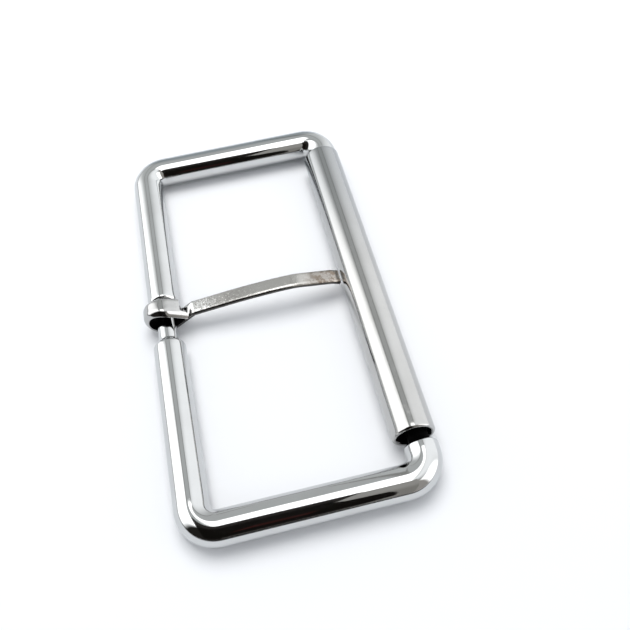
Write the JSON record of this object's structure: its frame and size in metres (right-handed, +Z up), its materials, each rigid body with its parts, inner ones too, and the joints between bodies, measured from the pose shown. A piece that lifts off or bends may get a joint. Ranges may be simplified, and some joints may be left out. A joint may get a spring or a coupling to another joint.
{
  "type": "roller belt buckle",
  "caption": "Rectangular roller buckle for a wide strap: a round-bar frame with a hinged curled prong on one long bar and a loose roller tube on the other.",
  "frame": {"origin": "centre of the frame's outline, on the plane that the frame and the roller lie on", "axes": "+X from the hinge bar to the roller, +Y along the long bars, +Z up, towards the front of the buckle"},
  "size_m": [0.0461, 0.087, 0.0076],
  "materials": {
    "frame_nickel": "bright polished nickel plate",
    "roller_nickel": "bright nickel plate, faintly drawn along its length",
    "prong_steel": "tumbled satin strip with bright eased edges"
  },
  "bodies": {
    "frame": {"frame": "frame_nickel"},
    "roller": {"roller": "roller_nickel"},
    "prong": {"prong": "prong_steel"}
  },
  "joints": [
    {"name": "prong_hinge", "type": "hinge", "parent": "frame", "child": "prong", "pos_m": [-0.0198, 0.00195, 0.0037], "axis": [0, -1, 0], "range_deg": [0, 180]},
    {"name": "roller_spin", "type": "hinge", "parent": "frame", "child": "roller", "pos_m": [0.01878, 0.0005, 0.0038], "axis": [0, 1, 0], "continuous": true}
  ]
}
